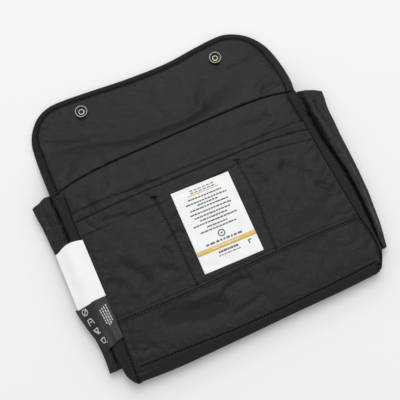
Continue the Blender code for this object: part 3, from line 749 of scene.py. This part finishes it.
def make_side_gusset(hand, seam, edge, fold_line, sign, ridges, ridge_z, low_y, rise, droop):
    """A side gusset, folded outwards under the tapes. sign is 1 on the right, and ridge_z its top's height.

    Its top end lifts by rise at the tape, and falls by droop for each millimetre outwards.
    """
    rows, steps, flat_z = 170, 72, 9.6
    y = np.linspace(low_y, 48.5, rows + 1)
    inner, out, fold_x = through(seam, y), through(edge, y), through(fold_line, y)
    wide = np.abs(fold_x - out)
    swell = smooth(wide / 14) * (0.75 + 0.25 * smooth((y + 116) / 30))
    ridge = flat_z + (ridge_z - flat_z) * swell
    # Its section, x and z: under the tape, over the upper leaf's ridge, round the outer fold and back below.
    section = (
        (inner + sign * 1.0, 9.5),
        (out - sign * 3.0, 9.3),
        (out + sign * 0.6, 9.45),
        (out + sign * (1.2 + 0.10 * wide), 10.2 + 0.25 * (ridge - flat_z)),
        (out + sign * 0.32 * wide, ridge),
        (out + sign * 0.62 * wide, 9.0 + 0.42 * (ridge - 9.0)),
        (fold_x - sign * 0.10 * wide, 8.6),
        (fold_x, FOLD_Z),
        (fold_x - sign * 0.10 * wide, 6.2),
        (out + sign * 0.6 * wide, 3.6),
        (out + sign * 0.2 * wide, 3.8),
        (out - sign * 2.0, 5.2),
        (inner + sign * 1.0, 5.2),
    )
    points = [np.stack([x, z + 0 * y], axis=1) for x, z in section]
    grid = spline(points, steps).transpose(1, 0, 2)[::sign]
    x, z = grid[:, :, 0].ravel(), grid[:, :, 1].ravel()
    level = np.repeat(y[::sign], steps + 1)
    share = np.tile(np.linspace(0, 1, steps + 1), rows + 1)
    outside = smooth(((x - np.interp(level, y, out)) * sign + 0.5) / 3)
    lift = 0.45 * soft_noise(x, level, 26, 32)
    for route, width, depth in ridges:
        lift = lift + fold(x, level, route, width, depth)
    fine = 0.40 * soft_noise(x, level, 8, 31) + 0.6 * creases(x, level * 0.6, 8, 36)
    z = z + (lift * smooth((0.50 - share) / 0.10) + fine * smooth((0.44 - share) / 0.10)) * outside
    near_top = smooth((level - 20) / 28)
    fall = np.clip(np.abs(x) - 128, 0, 24) * droop
    level = level + near_top * (rise - fall * outside)
    level = level + near_top * outside * 0.7 * soft_noise(x, 0 * x, 6, 34)
    x = x + sign * 0.35 * soft_noise(level, z, 20, 35) * outside
    piece = cloth("side_gusset_" + hand, steps, rows, lambda u, v: (x, level, z))
    settle(piece, None, "gusset_nylon", GUSSET, "gusset_" + hand)
    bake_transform(piece)


def make_bottom_gusset():
    """The bottom gusset, folded inwards between the panels."""

    def place(u, v):
        x = -109 + 218 * u
        angle = pi * (v - 0.5)
        reach = 20 * np.clip(np.cos(angle), 0, 1) ** 0.5
        sway = 0.25 * soft_noise(x, v * 40, 18, 41)
        return x, BOTTOM_SEAM - 1.0 + reach, FOLD_Z + 2.1 * np.sin(angle) + sway * np.cos(angle)

    piece = cloth("bottom_gusset_cloth", 110, 40, place)
    settle(piece, None, "gusset_nylon", GUSSET, "gusset_bottom")
    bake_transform(piece)


# Flap.
FLAP_RIGHT = ((125, 51.6), (127.2, 65), (128, 83), (126.6, 98.5), (122.8, 111), (115.4, 123), (105.2, 132))
FLAP_TIP = ((92, 138), (77, 138.8), (56, 137), (26, 134.2), (-14, 135.4), (-52, 138.8), (-79, 140.8))
FLAP_LEFT = (
    (-94, 140.2), (-106.4, 135), (-116.3, 124.8), (-122.2, 112.5),
    (-124.2, 99.5), (-125.1, 83), (-125.4, 51.6),
)
# Where the flap has come down to the table, as knots of (x, y).
DROP_END = ((-126, 102), (-112, 101), (-67, 96), (-37, 86), (0, 77), (24, 75), (46, 84), (70, 97), (126, 101))
FLAP_FOLDS = (
    (((-124, 108), (-93, 95), (-64, 87), (-39, 77), (-8, 72)), 5.4, -2.0),
    (((36, 66), (43, 90), (52, 104)), 3.8, -1.1),
    (((28, 76), (40, 98)), 4.0, 0.6),
    (((76, 101), (92, 102), (110, 100)), 4.0, -0.9),
    (((93, 62), (105, 65.5), (119, 67)), 3.6, -1.8),
    (((92, 69), (104, 74), (116, 77)), 2.6, 1.0),
    (((-112, 62), (-100, 70), (-96, 80)), 3.0, -0.7),
    (((-104, 60), (-92, 66)), 2.6, 0.6),
    (((-70, 70), (-30, 66)), 7, 0.5),
    (((0, 110), (34, 122)), 9, 0.4),
    (((-100, 118), (-84, 128)), 6, -0.4),
)


# The least height of the flap's lining, where its two cloths touch the table.
FLAP_LEAST = 1.8


def flap_outline(steps=360):
    """The flap's outer edge, anticlockwise from the right end of the arched seam."""
    knots = np.array(FLAP_RIGHT + FLAP_TIP + FLAP_LEFT, float)
    dense = spline(knots[:, None, :], 1200)[:, 0, :]
    lengths = np.concatenate([[0], np.linalg.norm(np.diff(dense, axis=0), axis=1).cumsum()])
    even = np.linspace(0, lengths[-1], steps + 1)
    line = np.stack([np.interp(even, lengths, dense[:, 0]), np.interp(even, lengths, dense[:, 1])], axis=1)
    tangent = np.gradient(line, axis=0)
    tangent = tangent / np.linalg.norm(tangent, axis=1)[:, None]
    inward = np.stack([-tangent[:, 1], tangent[:, 0]], axis=1)
    return line, inward


OUTLINE, OUTLINE_IN = flap_outline()
OUTLINE_T = np.linspace(0, 1, len(OUTLINE))


def along_outline(t, rows):
    """The x and y of rows that run along the outline, at shares t of its length."""
    return np.interp(t, OUTLINE_T, rows[:, 0]), np.interp(t, OUTLINE_T, rows[:, 1])


def flap_tape_width(t):
    """9 along the sides and 6.6 along the tip."""
    return 6.6 + 2.4 * smooth((128 - along_outline(t, OUTLINE)[1]) / 30)


def flap_top(x, y):
    """The height of the flap's lining."""
    start = arch(x) + 0.5
    t = (y - start) / (through(DROP_END, x) - start)
    z = LINING_Z - 0.1 + (FLAP_FLAT_Z - LINING_Z + 0.1) * smooth(t)
    far_x, far_y = OUTLINE[None, ::12, 0] - x[:, None], OUTLINE[None, ::12, 1] - y[:, None]
    gap = np.sqrt(np.min(far_x ** 2 + far_y ** 2, axis=1))
    inside = smooth((gap - 6) / 12)
    z = z + inside * (0.35 * soft_noise(x, y, 42, 51) + 0.34 * soft_noise(x, y, 13, 52))
    z = z + 0.20 * inside * creases(x, y, 34, 57) * (1 + soft_noise(x, y, 40, 58))
    z = z + 0.35 * inside * smooth(t * 3)
    for route, width, depth in FLAP_FOLDS:
        z = z + fold(x, y, route, width, depth) * inside
    z = FLAP_LEAST + 0.3 * np.log1p(np.exp((z - FLAP_LEAST) / 0.3))
    z = z + pucker(y - arch(x), x, 13, 6, 0.40, 53)
    return z + pucker(gap - 9, x + y, 8, 4, 0.25, 54) * smooth((gap - 8.5) / 2)


def make_flap():
    """The flap's two cloths and the tape folded over its edge."""
    line = OUTLINE + OUTLINE_IN * 4.0
    left, right = line[:, 0].min() + 0.05, line[:, 0].max() - 0.05
    tip = line[line[:, 1] > 70]
    tip = tip[np.argsort(tip[:, 0])]

    def spread(u, v):
        x = left + (right - left) * (0.25 * (1 - np.cos(pi * u)) + 0.5 * u)
        low = arch(x) + 0.1
        return x, low + (np.interp(x, tip[:, 0], tip[:, 1]) - low) * v

    def lining(u, v):
        x, y = spread(u, v)
        return x, y, flap_top(x, y) - hinge_dip(x, y)

    def shell(u, v):
        x, y = spread(u, v)
        return x, y, flap_top(x, y) * 0.98 - 0.9 - hinge_dip(x, y)

    piece = cloth("flap_lining_cloth", 260, 110, lining)
    across_hinge(settle(piece, None, "lining_nylon", LINING, "flap_lining"))
    piece = cloth("flap_shell_cloth", 160, 80, shell)
    across_hinge(settle(piece, None, "shell_nylon", SHELL, "flap_shell"))
    across_hinge(settle(flap_tape(), None, "binding_tape", TAPE, "flap_binding"))


def flap_tape():
    """The tape folded over the flap's edge, which rises and falls with the flap's cloth."""
    section = u_section(14)
    count = len(section) - 1
    radius, above, below = 1.35, 0.42, 2.35

    def place(u, v):
        share, turn = section[np.rint(u * count).astype(int)].T
        x, y = along_outline(v, OUTLINE)
        inward_x, inward_y = along_outline(v, OUTLINE_IN)
        wide = flap_tape_width(v)
        depth = radius * (1 - np.cos(turn)) + share * (wide - radius)
        x, y = x + inward_x * depth, y + inward_y * depth
        cloth_top = flap_top(x, y)
        high = cloth_top + above - GROOVE * bell(depth - wide + 1.4, GROOVE_WIDTH)
        high = high - 0.25 * smooth(1 - share * 6) + 0.08 * ribbing(v * 470, 4.4, 55)
        low = cloth_top - below
        return x, y, low + (high - low) * (1 + np.sin(turn)) / 2

    return cloth("flap_tape", count, 420, place, thickness=TAPE_CLOTH)


# Stitches. One is a little spindle: rows of (place along it, width, drop) in shares of its size.
SPINDLE = ((-1, 0.35, -0.45), (-0.6, 0.85, -0.08), (0, 1, 0.05), (0.6, 0.85, -0.08), (1, 0.35, -0.45))


def tube_faces(base, rings, sides):
    """The faces of a tube of rings of points, closed at both ends, whose first point is number base."""
    faces = []
    for r in range(rings - 1):
        for k in range(sides):
            a = base + r * sides + k
            b = base + r * sides + (k + 1) % sides
            faces.append((a, b, b + sides, a + sides))
    faces.append(tuple(base + k for k in reversed(range(sides))))
    faces.append(tuple(base + (rings - 1) * sides + k for k in range(sides)))
    return faces


def stitches(name, x, y, height, body, *nodes, pitch=3.0, size=0.44, lift=0.0):
    """A row of stitches along the line x, y, lying on the surface height(x, y)."""
    lengths = np.concatenate([[0], np.hypot(np.diff(x), np.diff(y)).cumsum()])
    count = int(lengths[-1] / pitch)
    sides = 6
    points, faces, uv = [], [], []

    def on_line(at):
        return np.array([np.interp(at, lengths, x), np.interp(at, lengths, y)])

    for centre in (np.arange(count) + 0.5) * lengths[-1] / count:
        faces += tube_faces(len(points), len(SPINDLE), sides)
        for t, wide, drop in SPINDLE:
            at = centre + t * pitch * 0.38
            here = on_line(at)
            ahead = on_line(at + 0.2) - here
            if np.abs(ahead).sum() < 1e-6:
                ahead = here - on_line(at - 0.2)
            ahead = ahead / np.hypot(*ahead)
            for k in range(sides):
                angle = 2 * pi * k / sides
                out = size * wide * cos(angle)
                up = drop * size * 2 + size * wide * sin(angle)
                points.append((here[0] - ahead[1] * out, here[1] + ahead[0] * out, up))
                uv.append((at, k * size))
    points = np.array(points)
    points[:, 2] += height(points[:, 0], points[:, 1]) + lift
    return settle(new_piece(name, points, faces, uv), body, "black_thread", THREAD, *nodes)


def make_stitches():
    """The rows of stitches that show."""

    def seam_height(x, y):
        return LINING_Z + 0.35 + 0 * x

    x = np.linspace(-112, 118, 200)
    stitches("pocket_hem_thread", x, through(HEM_STITCH, x), pocket_top, "back", "pocket_hem_stitch")
    stitches("pocket_base_thread", x, through(POCKET_BASE, x), pocket_top, "back", "pocket_base_stitch")
    for hand, divider in zip(("left", "right"), DIVIDERS):
        y = np.linspace(-79.5, DIVIDER_TOP, 60)
        name, node = "pocket_divider_thread_" + hand, "pocket_divider_stitch_" + hand
        stitches(name, through(divider, y), y, pocket_top, "back", node)
        top_x = through(divider, np.array([DIVIDER_TOP]))[0]
        bar = np.linspace(top_x - 3.2, top_x + 3.2, 12)
        slant = DIVIDER_TOP + 0.7 - 0.35 * (bar - top_x)
        name, node = "pocket_bartack_thread_" + hand, "pocket_bartack_" + hand
        stitches(name, bar, slant, pocket_top, "back", node, pitch=0.9, size=0.85, lift=0.10)
    x, y = (OUTLINE + OUTLINE_IN * (flap_tape_width(OUTLINE_T) - 1.4)[:, None]).T
    across_hinge(stitches("flap_thread", x, y, flap_top, None, "flap_topstitch", lift=0.35))
    y = np.linspace(-132, 47, 150)
    for hand, seam, sign in (("left", LEFT_SEAM, -1), ("right", RIGHT_SEAM, 1)):
        x = through(seam, y) + sign * 1.6
        stitches("side_seam_thread_" + hand, x, y, seam_height, "back", lift=0.09)
    x = np.linspace(-112, 117, 120)
    stitches("bottom_seam_thread", x, through(BOTTOM_STITCH, x) - 1.9, seam_height, "back")


# Snaps: closed profiles of (radius, height). The flap lies a little skewed, and its sockets with it.
SNAP_SHIFT = 3.0
SOCKET = (
    (4.8, 0), (4.95, 0.9), (4.95, 1.7), (4.75, 2.1), (5.0, 2.7), (5.35, 2.95), (5.8, 2.85), (6.2, 2.3),
    (6.3, 0.4), (5.9, 0),
)
CAP = (
    (0.01, -2.6), (1.8, -2.5), (1.8, 0.75), (2.1, 1.05), (3.0, 0.95), (3.4, 0.5), (3.2, 0.25), (2.1, 0.2),
    (2.1, -1.7), (5.8, -1.8), (6.3, -2.2), (6.0, -2.8), (5.0, -3.0), (0.01, -3.0),
)
STUD = (
    (1.9, 4.0), (3.0, 4.0), (3.8, 3.7), (4.15, 3.0), (3.6, 2.0), (3.6, 0.9), (5.4, 0.6), (5.8, 0.3),
    (5.6, 0), (1.9, 0),
)
SPRING_RADIUS = 4.55
WIRE_RADIUS = 0.2


def turned(name, profile, x, y, base, steps=64):
    """A closed profile, its corners rounded, turned about an upright axis at x, y, its 0 height at base."""
    profile = [(max(r, 0.01), z + base) for r, z in rounded(profile)]
    count = len(profile)
    angles = np.arange(steps) * 2 * pi / steps
    points = [(x + r * cos(a), y + r * sin(a), z) for a in angles for r, z in profile]
    faces = []
    for s in range(steps):
        for k in range(count):
            a, b = s * count + k, s * count + (k + 1) % count
            c, d = ((s + 1) % steps) * count + (k + 1) % count, ((s + 1) % steps) * count + k
            faces.append((a, b, c, d))
    return new_piece(name, points, faces, [(p[0], p[1]) for p in points])


def rounded(profile, size=0.18):
    """The profile with each corner cut into a little curve."""
    points = np.array(profile, float)
    out = []
    for before, here, after in zip(np.roll(points, 1, axis=0), points, np.roll(points, -1, axis=0)):
        first = before - here
        second = after - here
        a = here + first * min(0.4, size / np.linalg.norm(first))
        b = here + second * min(0.4, size / np.linalg.norm(second))
        for t in (0, 0.5, 1):
            out.append((1 - t) ** 2 * a + 2 * t * (1 - t) * here + t * t * b)
    return out


def make_snaps():
    """The sockets on the flap with their caps, and the studs inside on the front panel."""
    floor = FLAP_FLAT_Z + 0.45
    for hand, sign in (("left", -1), ("right", 1)):
        x = sign * SNAP_X + SNAP_SHIFT
        y = SOCKET_Y + 0.8 - 1.8 * sign
        piece = turned("socket_ring_" + hand, SOCKET, x, y, floor)
        settle(piece, "flap", "snap_metal", METAL, "snap_socket_" + hand)
        piece = turned("cap_rivet_" + hand, CAP, x, y, floor)
        settle(piece, "flap", "snap_metal", METAL, "snap_cap_" + hand)
        piece = spring(x, y, floor + 0.5, hand)
        settle(piece, "flap", "snap_metal", METAL, "snap_spring_" + hand)
        x = sign * SNAP_X
        base = extent("snap_stud_" + hand)[0][2]
        piece = turned("stud_knob_" + hand, STUD, x, STUD_Y, base)
        settle(piece, "front", "snap_metal", METAL, "snap_stud_" + hand)
        low = extent("stud_post_" + hand)[0][2]
        top = base + 3.7 - low
        post = ((1.1, 0), (1.1, top), (1.6, top), (1.6, 0.5), (5.0, 0.5), (5.0, 0))
        piece = turned("post_rivet_" + hand, post, x, STUD_Y, low)
        settle(piece, "front", "snap_metal", METAL, "stud_post_" + hand)


def spring(x, y, z, hand):
    """The open ring of wire inside a socket."""
    steps, sides = 60, 8
    points = []
    for i in range(steps + 1):
        angle = radians(-75 + 330 * i / steps)
        for k in range(sides):
            turn = -2 * pi * k / sides
            r = SPRING_RADIUS + WIRE_RADIUS * cos(turn)
            points.append((x + r * cos(angle), y + r * sin(angle), z + WIRE_RADIUS * sin(turn)))
    faces = tube_faces(0, steps + 1, sides)
    return new_piece("spring_ring_" + hand, points, faces, [(p[0], p[1]) for p in points])


# Labels.
LABEL_TURN = radians(-2.1)
LABEL_MIDDLE = middle("woven_label")[:2] + (-0.4, -0.8)
LABEL_HALF = (extent("woven_label")[1] - middle("woven_label"))[:2]
PRINT_LIFT = 0.05


def on_label(a, b, lift):
    """The place of a point of the organiser's label, a across it and b up it from its middle."""
    x = LABEL_MIDDLE[0] + a * cos(LABEL_TURN) - b * sin(LABEL_TURN)
    y = LABEL_MIDDLE[1] + a * sin(LABEL_TURN) + b * cos(LABEL_TURN)
    return x, y, label_top(x, y) + lift


def label_top(x, y):
    """The height of the label's top: stiffer than the pocket, so it bridges the small folds."""
    soft = (pocket_top(x, y) + pocket_top(x - 3, y) + pocket_top(x + 3, y) + pocket_top(x, y - 3)) / 4
    return soft + 0.55


def flat_marks(name, marks, material, slot, lift=PRINT_LIFT):
    """Thin printed marks on the label, each a rectangle (a, b, width, height)."""
    points, faces = [], []
    for a, b, width, height in marks:
        pieces = max(1, int(np.ceil(width / 1.5)))
        base = len(points)
        for i in range(pieces + 1):
            for end in (-0.5, 0.5):
                points.append((a + width * (i / pieces - 0.5), b + height * end))
        for i in range(pieces):
            k = base + 2 * i
            faces.append((k, k + 2, k + 3, k + 1))
    flat = np.array(points)
    piece = new_piece(name, np.stack(on_label(flat[:, 0], flat[:, 1], lift), axis=1), faces, flat)
    thicken(piece, 0.05)
    settle(piece, "back", slot, material)


def word_row(b, width, height, seed, gap=0.7):
    """A centred row of word-like dashes, b up the label."""
    marks, a, step = [], -width / 2, 0
    while a < width / 2 - 0.5:
        size = 1.6 + 5.2 * abs(noise.noise(Vector((seed * 3.3, step * 1.7, 0.4))))
        size = min(size, width / 2 - a)
        marks.append((a + size / 2, b, size, height))
        a += size + gap
        step += 1
    return marks


def ring_marks(a, b, outer, inner, count=20):
    """A plain ring built of little bars."""
    radius = (outer + inner) / 2
    angles = [2 * pi * i / count for i in range(count)]
    return [(a + radius * cos(angle), b + radius * sin(angle), 1.1, 1.1) for angle in angles]


def make_label():
    """The woven label, with plain bars, dashes and a ring where a real one has its print."""

    def place(u, v):
        return on_label(LABEL_HALF[0] * (2 * u - 1), LABEL_HALF[1] * (2 * v - 1), 0)

    piece = cloth("label_cloth", 60, 84, place, thickness=0.4)
    settle(piece, "back", "white_label", WHITE, "woven_label")
    grey = [(-10.25 + 4.1 * i, 34.5 + shift, 3.1, 1.0) for i in range(6) for shift in (-1.2, 1.2)]
    rows = (
        (27.8, 33), (23.9, 40), (20.8, 20), (17.5, 37), (13.6, 40),
        (9.9, 35), (6.4, 27), (2.9, 43), (-1.1, 20), (-4.4, 35),
    )
    for i, (b, width) in enumerate(rows):
        grey += word_row(b, width, 1.4, i + 1, 0.5)
    grey += word_row(-16.8, 35, 1.9, 14, 1.1)
    grey += word_row(-26.6, 19, 1.9, 15, 0.4)
    grey += word_row(-29.8, 21, 0.9, 16)
    grey += [(19.5, -27.6, 1.3, 3.6), (21.2, -26.2, 2.6, 1.1)]
    grey += ring_marks(0, -10.8, 3.4, 2.4) + [(0, -10.8, 1.6, 1.6)]
    flat_marks("label_print_grey", grey, GREY_PRINT, "black_satin")
    gold = [(0, 31.4, 30, 0.9), (0, -21.6, 2 * LABEL_HALF[0] - 0.6, 4.3)]
    flat_marks("label_print_gold", gold, GOLD_PRINT, "white_label")
    flat_marks("label_print_pale", word_row(-21.6, 26, 1.0, 18), WHITE, "white_label", lift=PRINT_LIFT + 0.06)


# Tags in the left seam.
def tag_height(x, y):
    """The height of the tags' tops: over the tape, then down across the gusset."""
    t = (-127.5 - x) / 16
    return LINING_Z + 1.55 - 4.4 * smooth(t) + 0.10 * soft_noise(x, y, 12, 61)


def white_place(u, v):
    """u runs in to the seam and v up the tag."""
    outer = -142.6 + 0.9 * v
    root = -114.8 + 0.9 * v
    x = root + (outer - root) * (1 - u)
    low = -52.2 - 1.4 * (1 - u)
    high = 2.6 + 2.6 * np.sin(pi * np.clip((1 - u) * 1.1, 0, 1)) - 1.6 * (1 - u) ** 2
    y = low + (high - low) * v
    return x, y, tag_height(x, y) + 0.02


def care_place(u, v):
    """u runs in to the seam and v up the label."""
    root_y = -92.0 + 39.8 * v
    end_y = -97.8 + 45.2 * v
    end_x = through(((-0.1, -134.2), (0, -134.6), (0.45, -140), (0.92, -144.4), (1.1, -145.4)), v)
    x = -115.2 + (end_x + 115.2) * (1 - u)
    y = root_y + (end_y - root_y) * (1 - u) ** 1.3
    return x, y, tag_height(x, y) - 0.42 + 0.25 * bell(v - 1, 0.1) + 0.9 * bell(u - 0.72, 0.16)


def make_tags():
    """The blank white tag and the satin care label with its plain wash symbols."""
    piece = cloth("white_tag_cloth", 40, 60, white_place, thickness=0.35)
    settle(piece, None, "white_label", WHITE, "white_tag")
    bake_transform(piece)
    piece = cloth("care_label_cloth", 40, 48, care_place, thickness=0.3)
    settle(piece, None, "black_satin", BLACK_SATIN, "care_label")
    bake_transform(piece)
    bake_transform(symbol_lines())


def symbol_lines():
    """Generic wash symbols and a block of dashes, as thin strips on the care label.

    Places on it are (share from the seam to the end, share up it). A symbol is a list of strokes.
    """
    circle = [(0.5 + 0.5 * cos(2 * pi * i / 16), 0.5 + 0.5 * sin(2 * pi * i / 16)) for i in range(17)]
    tub = [(0, 1), (0.12, 0), (0.88, 0), (1, 1)]
    triangle = [(0, 0), (1, 0), (0.5, 1), (0, 0)]
    iron = [(0, 0), (1, 0), (0.85, 0.75), (0.3, 0.75), (0, 0)]
    symbols = (
        (0.88, [circle, [(0, 0), (1, 1)]]),
        (0.65, [tub, [(0.3, 0.5), (0.7, 0.5)]]),
        (0.42, [triangle, [(0, 1), (1, 0)]]),
        (0.19, [iron, [(0, 1), (1, 0)]]),
    )
    points, faces = [], []
    left, wide, tall = 0.69, 0.165, 0.125
    for height, strokes in symbols:
        for stroke in strokes:
            placed = [(left + wide * p, height - tall * (q - 0.5)) for p, q in stroke]
            for start, end in zip(placed, placed[1:]):
                add_stroke(points, faces, start, end)
    for row in range(4):
        place = 0.11 + 0.075 * row
        start = 0.83 - 0.02 * row
        for word in range(6):
            size = 0.055 + 0.035 * noise.noise(Vector((row * 2.1, word * 3.1, 0.7)))
            add_stroke(points, faces, (place, start), (place, start - size), 0.017)
            start -= size + 0.014
    flat = np.array(points)
    x, y, z = care_place(1 - flat[:, 0], flat[:, 1])
    piece = new_piece("care_label_print", np.stack([x, y, z + 0.04], axis=1), faces, flat * 30)
    thicken(piece, 0.04)
    return settle(piece, None, "white_label", PALE_PRINT)


def add_stroke(points, faces, start, end, width=0.011):
    """A thin strip from start to end in the care label's own coordinates."""
    ahead = ((end[0] - start[0]) * 30, (end[1] - start[1]) * 40)
    size = max(np.hypot(*ahead), 1e-6)
    side = (-ahead[1] / size * width, ahead[0] / size * width * 0.75)
    base = len(points)
    for place in (start, end):
        points.append((place[0] + side[0], place[1] + side[1]))
        points.append((place[0] - side[0], place[1] - side[1]))
    faces.append((base, base + 1, base + 3, base + 2))


make_back()
make_side_tapes()
make_bottom_tapes()
make_front()
make_side_gusset("left", LEFT_SEAM, LEFT_EDGE, LEFT_FOLD, -1, LEFT_RIDGES, 11.9, -115.0, 6.5, 0.24)
make_side_gusset("right", RIGHT_SEAM, RIGHT_EDGE, RIGHT_FOLD, 1, RIGHT_RIDGES, 13.4, -118.6, 1.5, 0.40)
make_bottom_gusset()
make_flap()
make_stitches()
make_snaps()
make_label()
make_tags()


# Studio.
def make_studio():
    """A pale floor and soft light from above and behind."""
    far = 3000
    corners = [(-far, -far, 0), (far, -far, 0), (far, far, 0), (-far, far, 0)]
    floor = new_piece("floor", corners, [(0, 1, 2, 3)])
    material, _, shader = node_material("floor")
    set_inputs(shader, Base_Color=(0.86, 0.862, 0.858, 1), Roughness=0.9)
    floor.data.materials.append(material)
    world = bpy.data.worlds.new("studio")
    bpy.context.scene.world = world
    world.use_nodes = True
    bpy.context.scene.view_settings.view_transform = "Standard"
    set_inputs(world.node_tree.nodes["Background"], Color=(0.965, 0.98, 0.98, 1), Strength=0.71)
    add_area("top_softbox", (0.34, 0.80, 2.3), 1.4, 19)
    add_area("back_softbox", (0.9, 2.3, 1.9), 2.0, 14)


def add_area(name, place, size, power):
    """A square soft light that faces the pouch."""
    light = bpy.data.lights.new(name, "AREA")
    light.size = size
    light.energy = power
    obj = bpy.data.objects.new(name, light)
    obj.location = place
    obj.rotation_mode = "QUATERNION"
    obj.rotation_quaternion = (-Vector(place)).to_track_quat("-Z", "Y")
    bpy.context.scene.collection.objects.link(obj)


def make_camera():
    """The camera, above the pouch and a little to its left, as in the reference view."""
    camera = bpy.data.cameras.new("camera")
    camera.lens = 68.0
    camera.clip_start = 0.05
    obj = bpy.data.objects.new("camera", camera)
    target = Vector((-0.0026, -0.0083, 0.0135))
    place = Vector((-0.0802, -0.1781, 0.6768))
    obj.location = place
    obj.rotation_mode = "QUATERNION"
    turn = Matrix.Rotation(radians(-0.647), 4, "Z").to_quaternion()
    obj.rotation_quaternion = (target - place).to_track_quat("-Z", "Y") @ turn
    bpy.context.scene.collection.objects.link(obj)
    bpy.context.scene.camera = obj


make_studio()
make_camera()
